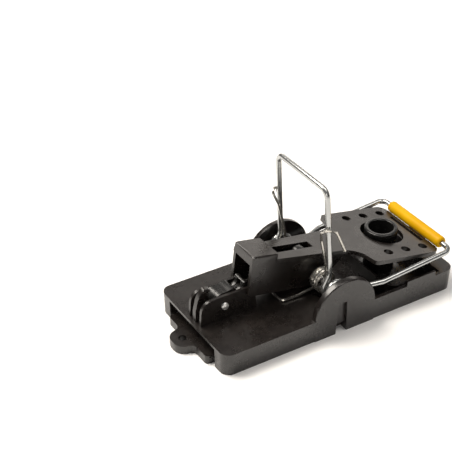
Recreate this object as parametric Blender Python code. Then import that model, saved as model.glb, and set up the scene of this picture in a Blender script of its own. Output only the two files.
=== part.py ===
"""Snap mouse trap with a moulded base, a sprung wire bow, a rocking treadle and a rotary catch.

Metres, +Z up, +X towards the bait end, Y across. The trap is modelled closed (sprung).
"""
import math

import bmesh
import bpy
from mathutils import Matrix, Vector

MM = 0.001

# ---------------------------------------------------------------- driving dimensions (mm)
BASE_LEN = 115.0            # length of the base body, without the hanging lug
BASE_WID = 52.4             # width of the base body at its top
BASE_H = 10.2               # height of deck and walls
BASE_R = 4.5                # corner radius in plan
DRAFT = 0.36                # the walls stand in by this much at the floor
WALL = 1.8
DECK_T = 1.8
FLOOR_T = 1.6
BACK_WALL_X = -52.6         # inner side of the wall behind the rear recess
RIB_X = 1.0                 # half thickness of the cross rib underneath
TRAY_X0 = 8.0               # where the closed deck ends and the open tray begins
SHELF_X0 = 50.2             # corner shelf beside the front wall
SHELF_Y1 = -6.0

EAR_R = 15.0                # half disc ears
EAR_Z = 10.0
EAR_T = 2.6
EAR_SLOT_TOP = 14.9

AXIS_X, AXIS_Z = -1.4, 17.0  # common axis of bow and treadle
BOSS_R = 2.7
BOSS_Y0 = 16.0
PIN_R = 1.5
PIN_Y = 13.6

CATCH_X, CATCH_Z = -44.6, 16.5  # axis of the rotary catch
CATCH_PIN_R = 1.6
CATCH_TRAVEL = 75.0
LEVER_TRAVEL = 12.0
HORN_Y = 1.1
CHEEK_Y0, CHEEK_Y1 = 3.6, 4.95
CHEEK_TOP = 21.4
CHEEK_R = 4.8

BOW_WIRE = 2.4
BOW_TRAVEL = 74.0
BAR_X, BAR_Z, BAR_Y = -5.97, 64.2, 16.9      # plain crossbar
GRIP_X, GRIP_Z, GRIP_Y = 56.5, 18.1, 23.35   # crossbar inside the grip
EYE_R = 4.1                 # centre line of the wire eye round the boss
EYE_Y0 = 17.7
EYE_PITCH = 2.9
GRIP_OD = 5.2
GRIP_HALF = 17.4

TREADLE_TILT = 11.15        # front end down, in the closed position
TREADLE_TRAVEL = 8.9
TOP_V = 10.8                # height of the treadle's top above its axis
PLATE_T = 1.8
CAP_V = 13.25
ARM_Y = 6.9
ARM_WALL = 1.6
CAP_U0, CAP_U1 = -34.4, -22.2
PEDAL_U0, PEDAL_U1 = 18.6, 54.0
PEDAL_Y = 20.5
HOLE_U, HOLE_R = 37.4, 9.5

CUP_X, CUP_TOP, CUP_R, CUP_BORE = 36.8, 23.6, 7.25, 5.35

SPRING_WIRE = 1.2
COIL_R = 4.6
COIL_Y0 = 8.35
COIL_PITCH = 1.27
COIL_TURNS = 3.95

LUG_X, LUG_R, LUG_T, LUG_HOLE = -60.9, 5.3, 3.8, 1.75

# ---------------------------------------------------------------- scene set-up
for old in list(bpy.data.objects):
    bpy.data.objects.remove(old, do_unlink=True)

scene = bpy.context.scene
parts = bpy.data.collections.new("snap_mouse_trap")
scene.collection.children.link(parts)
cutters = bpy.data.collections.new("cutters")
cutters.hide_render = True
scene.collection.children.link(cutters)


def material(name, colour, roughness, metallic=0.0):
    mat = bpy.data.materials.new(name)
    mat.use_nodes = True
    bsdf = mat.node_tree.nodes["Principled BSDF"]
    bsdf.inputs["Base Color"].default_value = (*colour, 1.0)
    bsdf.inputs["Roughness"].default_value = roughness
    bsdf.inputs["Metallic"].default_value = metallic
    return mat


def add_object(name, mesh, collection, helper=False):
    obj = bpy.data.objects.new(name, mesh)
    collection.objects.link(obj)
    if helper:
        obj.hide_render = True
        obj.display_type = "WIRE"
    return obj


def finish_mesh(bm, name):
    bmesh.ops.recalc_face_normals(bm, faces=bm.faces)
    mesh = bpy.data.meshes.new(name)
    bm.to_mesh(mesh)
    bm.free()
    return mesh


def rings_mesh(name, rings):
    """A closed solid from equal rings of 3-D points (mm), capped at both ends."""
    bm = bmesh.new()
    loops = [[bm.verts.new(Vector(p) * MM) for p in ring] for ring in rings]
    count = len(loops[0])
    for low, high in zip(loops, loops[1:]):
        for i in range(count):
            j = (i + 1) % count
            bm.faces.new((low[i], low[j], high[j], high[i]))
    bm.faces.new(list(reversed(loops[0])))
    bm.faces.new(loops[-1])
    return finish_mesh(bm, name)


def prism_z(outline, z0, z1):
    return [[(x, y, z) for x, y in outline] for z in (z0, z1)]


def prism_y(outline, y0, y1):
    """outline holds (x, z) pairs."""
    return [[(x, y, z) for x, z in outline] for y in (y0, y1)]


def arc(cx, cy, radius, a0, a1, steps):
    return [
        (
            cx + radius * math.cos(math.radians(a0 + (a1 - a0) * i / steps)),
            cy + radius * math.sin(math.radians(a0 + (a1 - a0) * i / steps)),
        )
        for i in range(steps + 1)
    ]


def rounded_rect(x0, x1, y0, y1, radius, steps=6):
    return (
        arc(x1 - radius, y1 - radius, radius, 0, 90, steps)
        + arc(x0 + radius, y1 - radius, radius, 90, 180, steps)
        + arc(x0 + radius, y0 + radius, radius, 180, 270, steps)
        + arc(x1 - radius, y0 + radius, radius, 270, 360, steps)
    )


def fillet(points, radii, steps=4):
    """Rounds the corners of a closed polygon; radii is one radius per corner."""
    out = []
    count = len(points)
    for i, (corner, radius) in enumerate(zip(points, radii)):
        here = Vector(corner)
        before = Vector(points[i - 1]) - here
        after = Vector(points[(i + 1) % count]) - here
        if radius <= 0:
            out.append(tuple(here))
            continue
        before.normalize()
        after.normalize()
        half = before.angle(after) / 2
        back = radius / math.tan(half)
        centre = here + (before + after).normalized() * (radius / math.sin(half))
        start = here + before * back - centre
        turn = math.pi - 2 * half
        side = before.x * after.y - before.y * after.x
        if side > 0:
            turn = -turn
        for k in range(steps + 1):
            out.append(tuple(centre + Matrix.Rotation(turn * k / steps, 2) @ start))
    return out


def circle(cx, cy, radius, steps=32):
    return [
        (
            cx + radius * math.cos(2 * math.pi * i / steps),
            cy + radius * math.sin(2 * math.pi * i / steps),
        )
        for i in range(steps)
    ]


def helper(name, rings):
    return add_object(name, rings_mesh(name, rings), cutters, helper=True)


def boolean(obj, other, operation):
    mod = obj.modifiers.new(other.name, "BOOLEAN")
    mod.operation = operation
    mod.object = other
    mod.solver = "EXACT"


def union(obj, name, rings):
    boolean(obj, helper(name, rings), "UNION")


def cut(obj, name, rings):
    boolean(obj, helper(name, rings), "DIFFERENCE")


def bake(obj):
    """Applies the modifiers, cleans the mesh and marks the edges that stay sharp."""
    bpy.context.view_layer.update()
    graph = bpy.context.evaluated_depsgraph_get()
    mesh = bpy.data.meshes.new_from_object(obj.evaluated_get(graph))
    obj.modifiers.clear()
    obj.data = mesh
    bm = bmesh.new()
    bm.from_mesh(mesh)
    bmesh.ops.remove_doubles(bm, verts=bm.verts, dist=0.00002)
    bmesh.ops.dissolve_degenerate(bm, edges=bm.edges, dist=0.00001)
    bmesh.ops.recalc_face_normals(bm, faces=bm.faces)
    bm.to_mesh(mesh)
    bm.free()
    mesh.shade_smooth()
    mesh.set_sharp_from_angle(angle=math.radians(32))


def set_origin(obj, point):
    """Moves the object's origin onto a point (mm) without moving the solid."""
    shift = Vector(point) * MM
    obj.data.transform(Matrix.Translation(-shift))
    obj.location = shift


def give(obj, mat):
    obj.data.materials.clear()
    obj.data.materials.append(mat)


black = material("black_plastic", (0.035, 0.033, 0.032), 0.38)
black_treadle = material("treadle_plastic", (0.036, 0.033, 0.032), 0.36)
black_catch = material("catch_plastic", (0.028, 0.028, 0.027), 0.4)
black_lever = material("lever_plastic", (0.03, 0.03, 0.029), 0.4)
black_cup = material("cup_plastic", (0.032, 0.032, 0.031), 0.34)
chrome = material("chromed_wire", (0.78, 0.79, 0.8), 0.14, 1.0)
spring_steel = material("spring_wire", (0.72, 0.68, 0.6), 0.24, 1.0)
spring_steel_left = material("spring_leg_wire_left", (0.72, 0.68, 0.6), 0.24, 1.0)
spring_steel_right = material("spring_leg_wire_right", (0.72, 0.68, 0.6), 0.24, 1.0)
pin_steel = material("pin_steel", (0.7, 0.7, 0.69), 0.3, 1.0)
pin_steel_rear = material("catch_pin_steel", (0.74, 0.74, 0.73), 0.28, 1.0)
yellow = material("yellow_grip", (0.9, 0.52, 0.01), 0.32)

HALF_L = BASE_LEN / 2
HALF_W = BASE_WID / 2

# ---------------------------------------------------------------- base moulding
lower = rounded_rect(-HALF_L + DRAFT, HALF_L - DRAFT, -HALF_W + DRAFT, HALF_W - DRAFT, BASE_R - DRAFT)
upper = rounded_rect(-HALF_L, HALF_L, -HALF_W, HALF_W, BASE_R)
base = add_object(
    "base_body",
    rings_mesh("base_body", [[(x, y, 0.0) for x, y in lower], [(x, y, BASE_H) for x, y in upper]]),
    parts,
)
# underside hollows below the rear deck, open to the floor, either side of a cross rib
cut(base, "rear_hollow", prism_z(
    rounded_rect(BACK_WALL_X, -RIB_X, -HALF_W + WALL + 0.3, HALF_W - WALL - 0.3, 2.4), -2.0, BASE_H - DECK_T))
cut(base, "middle_hollow", prism_z(
    rounded_rect(RIB_X, TRAY_X0 - WALL, -HALF_W + WALL + 0.3, HALF_W - WALL - 0.3, 1.2), -2.0, BASE_H - DECK_T))
# bait tray, open at the top
cut(base, "tray", prism_z(
    rounded_rect(TRAY_X0, HALF_L - WALL, -HALF_W + WALL, HALF_W - WALL, 3.0), FLOOR_T, BASE_H + 3))
# shelf in one front corner of the tray
union(base, "corner_shelf", prism_z(
    [(SHELF_X0, SHELF_Y1), (SHELF_X0, -HALF_W + 0.9)]
    + arc(HALF_L - 0.9 - 3.8, -HALF_W + 0.9 + 3.8, 3.8, 270, 360, 6) + [(HALF_L - 0.9, SHELF_Y1)],
    BASE_H - 2.2, BASE_H))
# low inner wall of the tray
cut_ring = rounded_rect(27.0, 53.2, -21.6, 21.6, 4.2)
ring = helper("inner_wall", prism_z(rounded_rect(26.0, 54.2, -22.6, 22.6, 5.2), FLOOR_T - 0.4, 8.9))
boolean(ring, helper("inner_wall_bore", prism_z(cut_ring, -1.0, 12.0)), "DIFFERENCE")
boolean(base, ring, "UNION")
# thin raised tabs on the walls
for side, tag in ((-1, "right"), (1, "left")):
    y_out, y_in = side * HALF_W, side * (HALF_W - 1.1)
    union(base, f"side_tab_{tag}", prism_y(
        [(31.2, BASE_H - 1.5), (46.6, BASE_H - 1.5), (46.6, 12.5), (31.6, 12.5)], min(y_out, y_in), max(y_out, y_in)))
union(base, "front_tab", prism_z(
    [(HALF_L - 1.1, -5.9), (HALF_L, -5.9), (HALF_L, 4.9), (HALF_L - 1.1, 4.9)], BASE_H - 1.5, 13.9))
# ears with a slot below and a boss for the bow and the spring on the inner side
for side, tag in ((-1, "right"), (1, "left")):
    def ear_outline(radius):
        return arc(0, EAR_Z, radius, 0, 180, 28) + [(-radius, 0.0), (radius, 0.0)]
    y_in, y_edge, y_out = side * (HALF_W - EAR_T), side * (HALF_W - 0.45), side * HALF_W
    union(base, f"ear_{tag}", [
        [(x, y_in, z) for x, z in ear_outline(EAR_R)],
        [(x, y_edge, z) for x, z in ear_outline(EAR_R)],
        [(x, y_out, z) for x, z in ear_outline(EAR_R - 0.45)]])
    union(base, f"boss_{tag}", prism_y(circle(AXIS_X, AXIS_Z, BOSS_R, 24), side * BOSS_Y0, side * (HALF_W - 1.2)))
    slot = [(-4.7, -1.0), (0.75, -1.0), (0.2, EAR_SLOT_TOP), (-3.9, EAR_SLOT_TOP)]
    cut(base, f"ear_slot_{tag}", prism_y(slot, side * (HALF_W - 1.3), side * (HALF_W + 1)))
    cut(base, f"ear_slot_foot_{tag}", prism_y(
        [(-4.7, -1.0), (0.75, -1.0), (0.6, 3.9), (-4.55, 3.9)], side * (HALF_W - 4), side * (HALF_W + 1)))
# cheeks that carry the catch pin
for side, tag in ((-1, "right"), (1, "left")):
    outline = fillet(
        [(-55.8, BASE_H - 1.0), (-55.2, CHEEK_TOP - 0.4), (-46.0, CHEEK_TOP), (-30.5, CHEEK_TOP - 0.1), (-29.5, BASE_H - 1.0)],
        [0, CHEEK_R, 2.0, 1.2, 0], 5)
    union(base, f"cheek_{tag}", prism_y(outline, side * CHEEK_Y0, side * CHEEK_Y1))
# fixed horn between the cheeks, the back stop of the bow's crossbar
horn = ([(-56.0, BASE_H - 1.0), (-55.9, 15.2), (-54.8, 20.2), (-53.9, 22.3), (-52.9, 23.7), (-51.9, 24.5), (-50.9, 24.7), (-49.6, 24.2)]
        + arc(CATCH_X, CATCH_Z, 8.2, 121, 137, 3) + arc(CATCH_X, CATCH_Z, 5.85, 152, 205, 5) + [(-50.0, BASE_H - 1.0)])
union(base, "horn", prism_y(horn, -HORN_Y, HORN_Y))
cut(base, "catch_pin_bore", prism_y(circle(CATCH_X, CATCH_Z, CATCH_PIN_R + 0.08, 20), -8, 8))
# post inside the treadle, with the treadle pin through it
post = fillet([(-6.6, BASE_H - 1.0), (-4.6, 20.2), (1.8, 20.2), (3.8, BASE_H - 1.0)], [0, 2.6, 2.6, 0], 5)
union(base, "treadle_post", prism_y(post, -4.4, 4.4))
cut(base, "treadle_pin_bore", prism_y(circle(AXIS_X, AXIS_Z, PIN_R + 0.08, 20), -6, 6))
# recess in the rear wall and the hanging lug that stands out of it
cut(base, "rear_recess", prism_z(
    [(-HALF_L - 2, -18.2), (BACK_WALL_X - WALL, -18.2), (BACK_WALL_X - WALL, 17.8), (-HALF_L - 2, 17.8)], -1.0, BASE_H - 1.2))
lug = fillet(
    [(BACK_WALL_X - 0.6, -15.4), (-59.4, -15.4), (-59.4, -6.3), (LUG_X - LUG_R, -5.0),
     (LUG_X - LUG_R, 5.0), (-59.4, 6.3), (-59.4, 15.4), (BACK_WALL_X - 0.6, 15.4)],
    [0, 1.7, 2.8, 4.85, 4.85, 2.8, 1.7, 0], 6)
union(base, "lug", prism_z(lug, 0.0, LUG_T))
cut(base, "lug_hole", prism_z(circle(LUG_X - 0.6, 0, LUG_HOLE, 20), -1, LUG_T + 1))
bake(base)
give(base, black)

# ---------------------------------------------------------------- bait cup
def revolve(name, profile, cx, steps=32):
    """profile is a closed list of (radius, z); the solid stands on the point (cx, 0)."""
    bm = bmesh.new()
    grid = []
    for i in range(steps):
        a = 2 * math.pi * i / steps
        grid.append([bm.verts.new(Vector((cx + r * math.cos(a), r * math.sin(a), z)) * MM) for r, z in profile])
    for i in range(steps):
        near, far = grid[i], grid[(i + 1) % steps]
        for k in range(len(profile)):
            m = (k + 1) % len(profile)
            bm.faces.new((near[k], far[k], far[m], near[m]))
    return finish_mesh(bm, name)


cup_profile = [
    (0.6, 1.9), (9.2, 1.9), (9.2, 3.0), (6.7, 3.3), (6.5, 12.0), (CUP_R, CUP_TOP - 1.6), (CUP_R, CUP_TOP - 0.3),
    (CUP_R - 0.3, CUP_TOP), (CUP_BORE + 0.3, CUP_TOP), (CUP_BORE, CUP_TOP - 0.3), (CUP_BORE - 0.25, 14.2), (0.6, 13.6)]
cup = add_object("bait_cup", revolve("bait_cup", cup_profile, CUP_X), parts)
plug = helper("cup_core", prism_z(circle(CUP_X, 0, 1.2, 12), 2.0, 13.5))
boolean(cup, plug, "UNION")
bake(cup)
give(cup, black_cup)

# ---------------------------------------------------------------- treadle (own frame: axis at the origin, u forward, v up)
tilt = Matrix.Rotation(math.radians(TREADLE_TILT), 4, "Y")
place = Matrix.Translation(Vector((AXIS_X, 0, AXIS_Z)) * MM) @ tilt


def blend_width(u):
    """Half width of the arm's top, flaring into the pedal."""
    if u <= CAP_U1:
        return ARM_Y
    if u <= 9.0:
        return ARM_Y + 1.5 * (u - CAP_U1) / (9.0 - CAP_U1)
    return ARM_Y + 1.5


flare = arc(9.0, blend_width(9.0) + 9.0, 9.0, 270, 345, 8)
half = [(CAP_U0, ARM_Y), (CAP_U1, ARM_Y), (0.0, blend_width(0.0))] + flare
half += fillet([flare[-1], (PEDAL_U0, PEDAL_Y), (PEDAL_U1, PEDAL_Y), (PEDAL_U1, 0)], [0, 2.4, 4.2, 0], 6)[1:-1]
plate = [(u, -y) for u, y in half] + [(u, y) for u, y in reversed(half)]
treadle = add_object("treadle", rings_mesh("treadle", prism_z(plate, TOP_V - PLATE_T, TOP_V)), parts)
union(treadle, "cap", [
    [(u, y, v) for u, y in rounded_rect(CAP_U0, CAP_U1, -ARM_Y - 0.15, ARM_Y + 0.15, 0.7, 3)]
    for v in (TOP_V - PLATE_T + 0.1, CAP_V - 0.5)] + [
    [(u, y, CAP_V) for u, y in rounded_rect(CAP_U0 + 0.5, CAP_U1 - 0.5, -ARM_Y + 0.35, ARM_Y - 0.35, 0.7, 3)]])
wall_outline = fillet(
    [(CAP_U0 + 0.1, TOP_V - 0.4), (CAP_U0 + 1.3, -5.2), (2.5, -5.2), (14.0, TOP_V - 0.9), (14.0, TOP_V - 0.4)],
    [0, 1.2, 4.0, 0, 0], 4)
for side, tag in ((-1, "right"), (1, "left")):
    union(treadle, f"arm_wall_{tag}", prism_y(wall_outline, side * (ARM_Y - ARM_WALL), side * ARM_Y))
union(treadle, "arm_front_web", prism_y(
    [(8.5, TOP_V - 0.9), (12.8, TOP_V - 0.9), (11.0, 6.8), (8.5, 3.0)], -ARM_Y + 0.5, ARM_Y - 0.5))
cut(treadle, "post_slot", prism_z(rounded_rect(-19.3, -1.2, -2.15, 2.15, 0.3, 2), 0, CAP_V + 3))
cut(treadle, "cup_hole", prism_z(circle(HOLE_U, 0, HOLE_R, 40), 0, CAP_V + 3))
cut(treadle, "grip_slot", prism_z(
    [(50.5, -10.8), (52.3, -10.8), (52.3, 10.8), (50.5, 10.8)], 0, CAP_V + 3))
for side in (-1, 1):
    for k in range(3):
        cut(treadle, f"vent_{side}_{k}", prism_z(circle(29.2 + 9.5 * k, side * 14.9, 2.05, 16), 0, CAP_V + 3))
cut(treadle, "treadle_bore", prism_y(circle(0, 0, PIN_R + 0.08, 20), -12, 12))
bake(treadle)
treadle.matrix_world = place
give(treadle, black_treadle)

treadle_pin = add_object(
    "treadle_pin", rings_mesh("treadle_pin", [
        [(AXIS_X + r * math.cos(a), y, AXIS_Z + r * math.sin(a)) for a in [2 * math.pi * i / 20 for i in range(20)]]
        for r, y in ((PIN_R - 0.3, -PIN_Y), (PIN_R, -PIN_Y + 0.3), (PIN_R, PIN_Y - 0.3), (PIN_R - 0.3, PIN_Y))]), parts)
bake(treadle_pin)
give(treadle_pin, pin_steel)

# ---------------------------------------------------------------- rotary catch and release lever (closed position; angles about the catch pin)
def polar(radius, angle):
    return (
        CATCH_X + radius * math.cos(math.radians(angle)),
        CATCH_Z + radius * math.sin(math.radians(angle)),
    )


def sweep(radius, a0, a1, steps):
    return [polar(radius, a0 + (a1 - a0) * i / steps) for i in range(steps + 1)]


catch_outline = (
    [polar(13.6, -24.6), polar(14.3, -22.8), polar(14.5, -20.5), polar(14.45, -17.0), polar(14.2, -9.0), polar(13.85, 0.0)]   # nose
    + [polar(13.6, 8.0), polar(13.5, 16.0), polar(13.5, 26.0), polar(13.3, 30.5), polar(12.6, 33.6), polar(11.8, 34.6)]     # hook
    + [polar(11.1, 33.2), polar(10.85, 30.0), polar(10.75, 26.6), polar(10.2, 24.6), polar(9.4, 23.8), polar(7.9, 23.5)]    # mouth
    + sweep(7.8, 26, 47, 6) + [polar(7.5, 51.0), polar(6.9, 56.5), polar(6.1, 63.0), polar(5.5, 71.0)]                      # dome
    + sweep(5.25, 80, 285, 14)
)
catch = add_object("catch", rings_mesh("catch", prism_y(catch_outline, -3.3, 3.3)), parts)
LEVER_ANGLE = 15.7          # the lever's upper edge when it is raised
def lever_frame(along, off):
    a = math.radians(LEVER_ANGLE)
    return (CATCH_X + along * math.cos(a) - off * math.sin(a), CATCH_Z + along * math.sin(a) + off * math.cos(a))


fork = [lever_frame(20, 3.7), lever_frame(0, 3.7)] + sweep(3.7, 90 + LEVER_ANGLE + 10, 196, 8) + [
    polar(3.75, 202.5), (CATCH_X + 1.4, CATCH_Z - 12.2), (CATCH_X + 20, CATCH_Z - 12.2)]
cut(catch, "catch_fork", prism_y(fork, -1.25, 1.25))
cut(catch, "catch_bore", prism_y(circle(CATCH_X, CATCH_Z, CATCH_PIN_R + 0.08, 20), -8, 8))
bake(catch)
set_origin(catch, (CATCH_X, 0, CATCH_Z))
give(catch, black_catch)

lever_outline = (
    sweep(3.2, 88, 270, 10)
    + [(-15.5, 17.9), (-8.6, 18.6), (-7.0, 19.4)]
    + fillet([(-6.4, 20.4), (-2.9, 28.5), (-7.9, 28.5), (-13.9, 21.7)], [0, 1.7, 2.4, 0], 5)[1:-1] + [(-14.2, 21.5)]
)
lever = add_object("release_lever", rings_mesh("release_lever", prism_y(lever_outline, -0.9, 0.9)), parts)
fin = [(-14.9, 20.9), (-7.6, 19.2)] + fillet(
    [(-6.4, 20.4), (-2.9, 28.5), (-7.9, 28.5), (-13.9, 21.7)], [0, 1.7, 2.4, 0], 5)[1:-1] + [(-14.2, 21.5)]
fin_inset = [(x * 0.94 - 0.5, z * 0.94 + 1.5) for x, z in fin]
union(lever, "fin", [[(x, -1.55, z) for x, z in fin_inset]] + prism_y(fin, -1.15, 1.15) + [[(x, 1.55, z) for x, z in fin_inset]])
cut(lever, "lever_bore", prism_y(circle(CATCH_X, CATCH_Z, CATCH_PIN_R + 0.08, 20), -8, 8))
bake(lever)
set_origin(lever, (CATCH_X, 0, CATCH_Z))
give(lever, black_lever)

catch_pin = add_object(
    "catch_pin", rings_mesh("catch_pin", [
        [(CATCH_X + r * math.cos(a), y, CATCH_Z + r * math.sin(a)) for a in [2 * math.pi * i / 20 for i in range(20)]]
        for r, y in ((CATCH_PIN_R - 0.4, -5.9), (CATCH_PIN_R, -5.5), (CATCH_PIN_R, 5.5), (CATCH_PIN_R - 0.4, 5.9))]), parts)
bake(catch_pin)
give(catch_pin, pin_steel_rear)

# ---------------------------------------------------------------- wires
def round_corner(a, corner, b, radius, steps):
    """Points of a rounded corner between two straight runs in space."""
    a, corner, b = Vector(a), Vector(corner), Vector(b)
    d1, d2 = (a - corner).normalized(), (b - corner).normalized()
    half_angle = d1.angle(d2) / 2
    back = radius / math.tan(half_angle)
    centre = corner + (d1 + d2).normalized() * (radius / math.sin(half_angle))
    start, end = corner + d1 * back - centre, corner + d2 * back - centre
    axis = start.cross(end).normalized()
    turn = start.angle(end)
    return [centre + Matrix.Rotation(turn * i / steps, 3, axis) @ start for i in range(steps + 1)]


def smooth_path(points, radii, steps=4):
    out = [Vector(points[0])]
    for i in range(1, len(points) - 1):
        if radii[i] > 0:
            out += round_corner(points[i - 1], points[i], points[i + 1], radii[i], steps)
        else:
            out.append(Vector(points[i]))
    return out + [Vector(points[-1])]


def wire(name, points, diameter, cyclic=False, resolution=2):
    curve = bpy.data.curves.new(name, "CURVE")
    curve.dimensions = "3D"
    curve.bevel_depth = diameter / 2 * MM
    curve.bevel_resolution = resolution
    curve.use_fill_caps = not cyclic
    spline = curve.splines.new("POLY")
    spline.points.add(len(points) - 1)
    for slot_, point in zip(spline.points, points):
        slot_.co = (*(Vector(point) * MM), 1.0)
    spline.use_cyclic_u = cyclic
    guide = bpy.data.objects.new(name + "_guide", curve)
    parts.objects.link(guide)
    bpy.context.view_layer.update()
    graph = bpy.context.evaluated_depsgraph_get()
    mesh = bpy.data.meshes.new_from_object(guide.evaluated_get(graph))
    matrix = guide.matrix_world.copy()
    bpy.data.objects.remove(guide, do_unlink=True)
    bm = bmesh.new()
    bm.from_mesh(mesh)
    bmesh.ops.remove_doubles(bm, verts=bm.verts, dist=0.00001)
    bmesh.ops.recalc_face_normals(bm, faces=bm.faces)
    bm.to_mesh(mesh)
    bm.free()
    mesh.name = name
    obj = add_object(name, mesh, parts)
    obj.matrix_world = matrix
    mesh.shade_smooth()
    mesh.set_sharp_from_angle(angle=math.radians(50))
    return obj


def eye(side):
    """Wire eye round the boss, from the plain arm (rear, going down) to the grip arm (bottom, going forward)."""
    out = []
    for i in range(21):
        turned = 450.0 * i / 20
        a = math.radians(180 + turned)
        y = EYE_Y0 + EYE_PITCH * turned / 360
        out.append(Vector((AXIS_X + EYE_R * math.cos(a), side * y, AXIS_Z + EYE_R * math.sin(a))))
    return out


def bow_half(side):
    """One side of the bow, from the middle of the plain crossbar to the middle of the grip crossbar."""
    ring = eye(side)
    upper = smooth_path(
        [(BAR_X, 0, BAR_Z), (BAR_X, side * BAR_Y, BAR_Z), (-3.1, side * (EYE_Y0 + 0.2), 24.4), (-5.2, side * EYE_Y0, 19.4)],
        [0, 3.6, 5.0, 0], 6)
    leave = ring[-1]
    lower = smooth_path(
        [leave, (15.0, side * 21.4, 14.35), (20.8, side * (GRIP_Y - 0.15), 15.05),
         (GRIP_X, side * GRIP_Y, GRIP_Z), (GRIP_X, 0, GRIP_Z)],
        [0, 5.0, 5.0, 3.4, 0], 6)
    return upper + [Vector((-5.45, side * EYE_Y0, 18.2))] + ring + lower[1:]


right, left = bow_half(-1), bow_half(1)
bow_path = right[1:-1] + [right[-1]] + list(reversed(left[1:-1])) + [left[0]]
bow = wire("bow_wire", bow_path, BOW_WIRE, cyclic=True)
set_origin(bow, (AXIS_X, 0, AXIS_Z))
give(bow, chrome)


def tube(name, radius, bore, half_len, cx, cz, steps=28):
    profile = [
        (bore, -half_len), (radius - 0.9, -half_len), (radius - 0.25, -half_len + 0.35), (radius, -half_len + 1.1),
        (radius, half_len - 1.1), (radius - 0.25, half_len - 0.35), (radius - 0.9, half_len), (bore, half_len)]
    bm = bmesh.new()
    grid = []
    for i in range(steps):
        a = 2 * math.pi * i / steps
        grid.append([bm.verts.new(Vector((cx + r * math.cos(a), y, cz + r * math.sin(a))) * MM) for r, y in profile])
    for i in range(steps):
        near, far = grid[i], grid[(i + 1) % steps]
        for k in range(len(profile)):
            m = (k + 1) % len(profile)
            bm.faces.new((near[k], far[k], far[m], near[m]))
    return finish_mesh(bm, name)


grip = add_object("grip_sleeve", tube("grip_sleeve", GRIP_OD / 2, BOW_WIRE / 2 + 0.12, GRIP_HALF, GRIP_X, GRIP_Z), parts)
bake(grip)
set_origin(grip, (AXIS_X, 0, AXIS_Z))
give(grip, yellow)

# ---------------------------------------------------------------- double torsion spring
def coil(side):
    """From the deck leg (bottom, coming forward) round the boss to the outer end."""
    out = []
    steps = round(COIL_TURNS * 16)
    for i in range(steps + 1):
        turned = 360.0 * COIL_TURNS * i / steps
        a = math.radians(270 + turned)
        y = COIL_Y0 + COIL_PITCH * turned / 360
        out.append(Vector((AXIS_X + COIL_R * math.cos(a), side * y, AXIS_Z + COIL_R * math.sin(a))))
    return out


def spring_side(side):
    ring = coil(side)
    rest_z = BASE_H + SPRING_WIRE / 2 + 0.12
    leg = smooth_path(
        [(-19.4, 0, rest_z), (-19.4, side * 8.1, rest_z), (-12.0, side * 8.3, rest_z), ring[0]],
        [0, 2.2, 12.0, 0], 5)
    return leg[:-1] + ring


spring_right, spring_left = spring_side(-1), spring_side(1)
spring = wire("torsion_spring", list(reversed(spring_right[1:])) + [spring_right[0]] + spring_left[1:], SPRING_WIRE, resolution=1)
give(spring, spring_steel)


def spring_leg(side):
    """The hook leg: up the inner side of the bow's arm, round its rear and down outside; the left end is shorter."""
    end = [(-3.4, side * 20.4, 47.0), (1.8, side * 20.4, 35.7)] if side < 0 else [(-4.4, side * 20.1, 46.6), (-3.0, side * 20.0, 40.0)]
    return smooth_path(
        [(-2.9, side * 14.75, 12.5), (-2.6, side * 15.1, 25.0), (-6.2, side * 15.25, 40.6), (-8.4, side * 17.7, 46.9)] + end,
        [0, 16.0, 3.5, 2.0, 2.6, 0], 7)


for side, tag, mat in ((-1, "right", spring_steel_right), (1, "left", spring_steel_left)):
    leg = wire(f"spring_leg_{tag}", spring_leg(side), SPRING_WIRE, resolution=1)
    set_origin(leg, (AXIS_X, 0, AXIS_Z))
    give(leg, mat)
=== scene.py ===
import math

import bmesh
import bpy
from mathutils import Matrix, Vector

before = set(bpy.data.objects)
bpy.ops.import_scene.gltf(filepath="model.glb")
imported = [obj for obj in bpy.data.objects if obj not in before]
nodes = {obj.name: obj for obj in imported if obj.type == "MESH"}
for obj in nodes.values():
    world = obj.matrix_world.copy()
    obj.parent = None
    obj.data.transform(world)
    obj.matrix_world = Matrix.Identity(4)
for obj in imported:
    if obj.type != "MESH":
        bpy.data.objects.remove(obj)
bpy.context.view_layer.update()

scene = bpy.context.scene
MM = 0.001
PIVOT = Vector((-0.0014, 0.0, 0.017))


# ------------------------------------------------------------------ node helpers
def new_material(name):
    mat = bpy.data.materials.new(name)
    mat.use_nodes = True
    tree = mat.node_tree
    return mat, tree, tree.nodes["Principled BSDF"]


def mapping(tree, scale=1.0, stretch=(1, 1, 1)):
    coord = tree.nodes.new("ShaderNodeTexCoord")
    m = tree.nodes.new("ShaderNodeMapping")
    m.inputs["Scale"].default_value = [scale * s for s in stretch]
    tree.links.new(coord.outputs["Object"], m.inputs["Vector"])
    return m.outputs["Vector"]


def noise(tree, vector, scale, detail=4.0, rough=0.5):
    n = tree.nodes.new("ShaderNodeTexNoise")
    n.inputs["Scale"].default_value = scale
    n.inputs["Detail"].default_value = detail
    n.inputs["Roughness"].default_value = rough
    tree.links.new(vector, n.inputs["Vector"])
    return n.outputs["Fac"]


def ramp(tree, value, stops):
    r = tree.nodes.new("ShaderNodeValToRGB")
    r.color_ramp.elements[0].position, r.color_ramp.elements[0].color = stops[0]
    r.color_ramp.elements[1].position, r.color_ramp.elements[1].color = stops[-1]
    for pos, col in stops[1:-1]:
        e = r.color_ramp.elements.new(pos)
        e.color = col
    tree.links.new(value, r.inputs["Fac"])
    return r.outputs["Color"]


def to_range(tree, value, low, high, new_low, new_high):
    m = tree.nodes.new("ShaderNodeMapRange")
    m.inputs["From Min"].default_value = low
    m.inputs["From Max"].default_value = high
    m.inputs["To Min"].default_value = new_low
    m.inputs["To Max"].default_value = new_high
    tree.links.new(value, m.inputs["Value"])
    return m.outputs["Result"]


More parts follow.
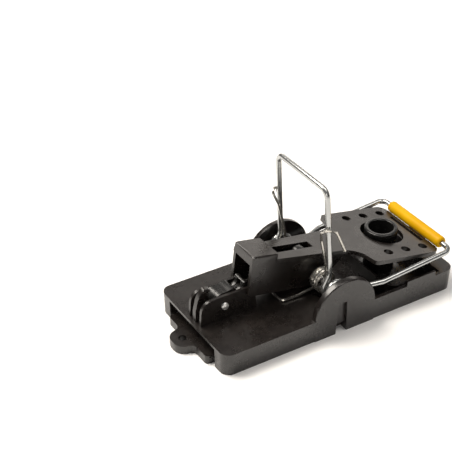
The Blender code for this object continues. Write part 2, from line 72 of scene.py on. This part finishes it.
def math_node(tree, op, a, b):
    m = tree.nodes.new("ShaderNodeMath")
    m.operation = op
    for i, v in enumerate((a, b)):
        if isinstance(v, (int, float)):
            m.inputs[i].default_value = v
        else:
            tree.links.new(v, m.inputs[i])
    return m.outputs[0]


def bump(tree, bsdf, height, strength, distance):
    b = tree.nodes.new("ShaderNodeBump")
    b.inputs["Strength"].default_value = strength
    b.inputs["Distance"].default_value = distance
    tree.links.new(height, b.inputs["Height"])
    tree.links.new(b.outputs["Normal"], bsdf.inputs["Normal"])


# ------------------------------------------------------------------ materials
def plastic(name, tint, shift=0.0, gloss=0.0):
    """Moulded black polypropylene: faint mottling, soft sheen, fine spark-eroded grain, convex edges lightened in
    patches as a painted highlight, sparse scuffs.
    """
    mat, tree, bsdf = new_material(name)
    vec = mapping(tree, 1.0)
    cloud = noise(tree, vec, 60 + shift, 5.0, 0.55)
    base = ramp(tree, cloud, [
        (0.25, tuple(c * 0.80 for c in tint) + (1,)),
        (0.5, tuple(tint) + (1,)),
        (0.8, tuple(c * 1.28 for c in tint) + (1,))])
    geo = tree.nodes.new("ShaderNodeNewGeometry")
    # painted highlight: convex edges (high pointiness) are mixed towards a lighter colour in noisy patches
    edge = to_range(tree, geo.outputs["Pointiness"], 0.515, 0.58, 0.0, 0.55)
    painted_edge_highlight = math_node(tree, "MULTIPLY", edge, to_range(tree, noise(tree, vec, 420, 3.0), 0.38, 0.62, 0.0, 1.0))
    mix = tree.nodes.new("ShaderNodeMix")
    mix.data_type = "RGBA"
    mix.inputs["B"].default_value = tuple(c * 2.0 + 0.004 for c in tint) + (1,)
    tree.links.new(painted_edge_highlight, mix.inputs["Factor"])
    tree.links.new(base, mix.inputs["A"])
    tree.links.new(mix.outputs["Result"], bsdf.inputs["Base Color"])
    rough_n = noise(tree, vec, 95, 4.0, 0.6)
    scuffs = noise(tree, mapping(tree, 1.0, (30, 420, 160)), 6.0, 3.0, 0.6)
    rough = to_range(tree, rough_n, 0.3, 0.7, 0.24 - gloss, 0.33 - gloss)
    rough = math_node(tree, "ADD", rough, to_range(tree, scuffs, 0.62, 0.72, 0.0, 0.08))
    tree.links.new(rough, bsdf.inputs["Roughness"])
    bsdf.inputs["Specular IOR Level"].default_value = 0.62
    grain = noise(tree, vec, 2600, 2.0, 0.5)
    flow = noise(tree, vec, 130, 3.0, 0.5)
    bump(tree, bsdf, math_node(tree, "ADD", math_node(tree, "MULTIPLY", grain, 0.35), flow), 0.22, 0.00012)
    return mat


def chrome(name, tint, rough0, rough1, scratch):
    """Bright plated or drawn wire: nearly mirror, fine draw lines and slight tarnish."""
    mat, tree, bsdf = new_material(name)
    vec = mapping(tree, 1.0)
    cloud = noise(tree, vec, 140, 5.0, 0.6)
    base = ramp(tree, cloud, [
        (0.3, tuple(c * 0.86 for c in tint) + (1,)),
        (0.7, tuple(tint) + (1,))])
    tree.links.new(base, bsdf.inputs["Base Color"])
    bsdf.inputs["Metallic"].default_value = 0.88
    fine = noise(tree, vec, 900, 3.0, 0.6)
    tree.links.new(to_range(tree, fine, 0.3, 0.7, rough0, rough1), bsdf.inputs["Roughness"])
    bump(tree, bsdf, noise(tree, mapping(tree, 1.0, (1, 1, 0.12)), 2200, 2.0), scratch, 0.00006)
    return mat


def yellow_material(name):
    mat, tree, bsdf = new_material(name)
    vec = mapping(tree, 1.0)
    base = ramp(tree, noise(tree, vec, 90, 4.0), [
        (0.25, (0.56, 0.283, 0.0002, 1)), (0.5, (0.63, 0.338, 0.0003, 1)), (0.8, (0.69, 0.39, 0.0006, 1))])
    tree.links.new(base, bsdf.inputs["Base Color"])
    tree.links.new(to_range(tree, noise(tree, vec, 160, 4.0), 0.3, 0.7, 0.42, 0.54), bsdf.inputs["Roughness"])
    bsdf.inputs["Specular IOR Level"].default_value = 0.14
    bump(tree, bsdf, noise(tree, vec, 1500, 3.0), 0.18, 0.0001)
    return mat


TOP = (0.0070, 0.0052, 0.0043)
mats = {
    "base_body": plastic("base_moulding", TOP),
    "treadle": plastic("treadle_moulding", (0.0074, 0.0055, 0.0045), 7.0),
    "bait_cup": plastic("cup_moulding", (0.0070, 0.0070, 0.0066), 13.0, 0.06),
    "catch": plastic("catch_moulding", (0.0075, 0.0072, 0.0066), 17.0, 0.03),
    "release_lever": plastic("lever_moulding", (0.0078, 0.0075, 0.0068), 23.0, 0.03),
    "bow_wire": chrome("bow_chrome", (0.50, 0.51, 0.505), 0.17, 0.24, 0.0),
    "torsion_spring": chrome("spring_steel", (0.56, 0.54, 0.495), 0.20, 0.28, 0.0),
    "spring_leg_right": chrome("spring_leg_steel_right", (0.56, 0.54, 0.495), 0.20, 0.28, 0.0),
    "spring_leg_left": chrome("spring_leg_steel_left", (0.56, 0.54, 0.495), 0.20, 0.28, 0.0),
    "treadle_pin": chrome("treadle_pin_steel", (0.74, 0.74, 0.73), 0.2, 0.32, 0.08),
    "catch_pin": chrome("catch_pin_steel", (0.84, 0.84, 0.82), 0.34, 0.44, 0.0),
    "grip_sleeve": yellow_material("grip_yellow"),
}
for name, mat in mats.items():
    node = nodes[name]
    if node.data.materials:
        for i in range(len(node.data.materials)):
            node.data.materials[i] = mat
    else:
        node.data.materials.append(mat)

def shading_group(name, merge, degrees):
    """A node group that joins the split triangles, shades them smooth and keeps the edges over this angle sharp."""
    group = bpy.data.node_groups.new(name, "GeometryNodeTree")
    group.interface.new_socket("Geometry", in_out="INPUT", socket_type="NodeSocketGeometry")
    group.interface.new_socket("Geometry", in_out="OUTPUT", socket_type="NodeSocketGeometry")
    first, last = group.nodes.new("NodeGroupInput"), group.nodes.new("NodeGroupOutput")
    flow = first.outputs[0]
    if merge:
        drop = group.nodes.new("GeometryNodeRemoveAttribute")
        drop.inputs["Name"].default_value = "custom_normal"
        group.links.new(flow, drop.inputs["Geometry"])
        join = group.nodes.new("GeometryNodeMergeByDistance")
        join.inputs["Distance"].default_value = 0.000002
        group.links.new(drop.outputs["Geometry"], join.inputs["Geometry"])
        smooth = group.nodes.new("GeometryNodeSetShadeSmooth")
        smooth.domain = "FACE"
        smooth.inputs["Shade Smooth"].default_value = True
        group.links.new(join.outputs["Geometry"], smooth.inputs["Geometry"])
        flow = smooth.outputs["Geometry"]
    angle = group.nodes.new("GeometryNodeInputMeshEdgeAngle")
    over = group.nodes.new("FunctionNodeCompare")
    over.data_type, over.operation = "FLOAT", "GREATER_THAN"
    over.inputs["B"].default_value = math.radians(degrees)
    group.links.new(angle.outputs["Unsigned Angle"], over.inputs["A"])
    sharp = group.nodes.new("GeometryNodeSetShadeSmooth")
    sharp.domain = "EDGE"
    sharp.inputs["Shade Smooth"].default_value = False
    group.links.new(over.outputs["Result"], sharp.inputs["Selection"])
    group.links.new(flow, sharp.inputs["Geometry"])
    group.links.new(sharp.outputs["Geometry"], last.inputs[0])
    return group


joined = shading_group("join_and_smooth", True, 50)
resharpen = shading_group("sharp_edges", False, 50)
for name, node in nodes.items():
    node.modifiers.new("join_and_smooth", "NODES").node_group = joined
for name in ("base_body", "treadle", "catch", "release_lever", "bait_cup"):
    node = nodes[name]
    bevel = node.modifiers.new("edge_round", "BEVEL")
    bevel.width = 0.00022
    bevel.segments = 2
    bevel.limit_method = "ANGLE"
    bevel.angle_limit = math.radians(50)
    bevel.use_clamp_overlap = True
    bevel.harden_normals = False
    node.modifiers.new("sharp_edges", "NODES").node_group = resharpen
    weighted = node.modifiers.new("flat_faces", "WEIGHTED_NORMAL")
    weighted.keep_sharp = True

# ------------------------------------------------------------------ camera
cam_data = bpy.data.cameras.new("camera")
cam_data.sensor_width = 36.0
cam_data.lens = 1141.465 / 452.0 * 36.0
camera = bpy.data.objects.new("camera", cam_data)
camera.location = (-0.23134, -0.31382, 0.2955)
camera.rotation_euler = (math.radians(90 - 33.7), 0.0, math.radians(-31.23))
scene.collection.objects.link(camera)
scene.camera = camera

# ------------------------------------------------------------------ light
world = bpy.data.worlds.new("world")
world.use_nodes = True
wt = world.node_tree
bg = wt.nodes["Background"]
coord = wt.nodes.new("ShaderNodeTexCoord")
split = wt.nodes.new("ShaderNodeSeparateXYZ")
wt.links.new(coord.outputs["Generated"], split.inputs["Vector"])
sky = wt.nodes.new("ShaderNodeValToRGB")
sky.color_ramp.elements[0].position, sky.color_ramp.elements[0].color = 0.0, (0.035, 0.035, 0.037, 1)
sky.color_ramp.elements[1].position, sky.color_ramp.elements[1].color = 0.95, (0.30, 0.30, 0.305, 1)
mid = sky.color_ramp.elements.new(0.35)
mid.color = (0.075, 0.075, 0.078, 1)
wt.links.new(split.outputs["Z"], sky.inputs["Fac"])
wt.links.new(sky.outputs["Color"], bg.inputs["Color"])
bg.inputs["Strength"].default_value = 0.9
scene.world = world


def area(name, loc, target, size_x, size_y, power, colour=(1, 1, 1)):
    data = bpy.data.lights.new(name, "AREA")
    data.shape = "RECTANGLE"
    data.size, data.size_y = size_x, size_y
    data.energy = power
    data.color = colour
    obj = bpy.data.objects.new(name, data)
    obj.location = loc
    obj.rotation_euler = (Vector(target) - Vector(loc)).to_track_quat("-Z", "Y").to_euler()
    scene.collection.objects.link(obj)
    return obj


area("key", (-0.30, 0.40, 0.90), (0, 0, 0.02), 0.60, 0.60, 15.0, (1.0, 0.94, 0.865))
area("top", (0.25, -0.20, 0.95), (0, 0, 0.02), 0.55, 0.55, 3.0, (1.0, 0.95, 0.89))
area("back", (0.60, 0.80, 0.45), (0, 0, 0.02), 0.9, 0.35, 1.7, (1.0, 0.94, 0.87))
area("front", (-0.40, -0.60, 0.25), (0, 0, 0.02), 0.4, 0.3, 0.9, (1.0, 0.94, 0.87))

# ------------------------------------------------------------------ floor
floor_data = bpy.data.meshes.new("floor")
floor_data.from_pydata([(-6, -6, 0), (6, -6, 0), (6, 6, 0), (-6, 6, 0)], [], [(0, 1, 2, 3)])
floor = bpy.data.objects.new("floor", floor_data)
scene.collection.objects.link(floor)
fm, ft, fb = new_material("floor_paper")
fv = mapping(ft, 1.0)
ft.links.new(ramp(ft, noise(ft, fv, 3.0, 2.0), [(0.3, (0.93, 0.93, 0.925, 1)), (0.7, (0.95, 0.95, 0.948, 1))]), fb.inputs["Base Color"])
fb.inputs["Roughness"].default_value = 0.75
fb.inputs["Specular IOR Level"].default_value = 0.2
floor_data.materials.append(fm)

scene.view_settings.view_transform = "Standard"
scene.view_settings.look = "None"
scene.view_settings.exposure = 0.0
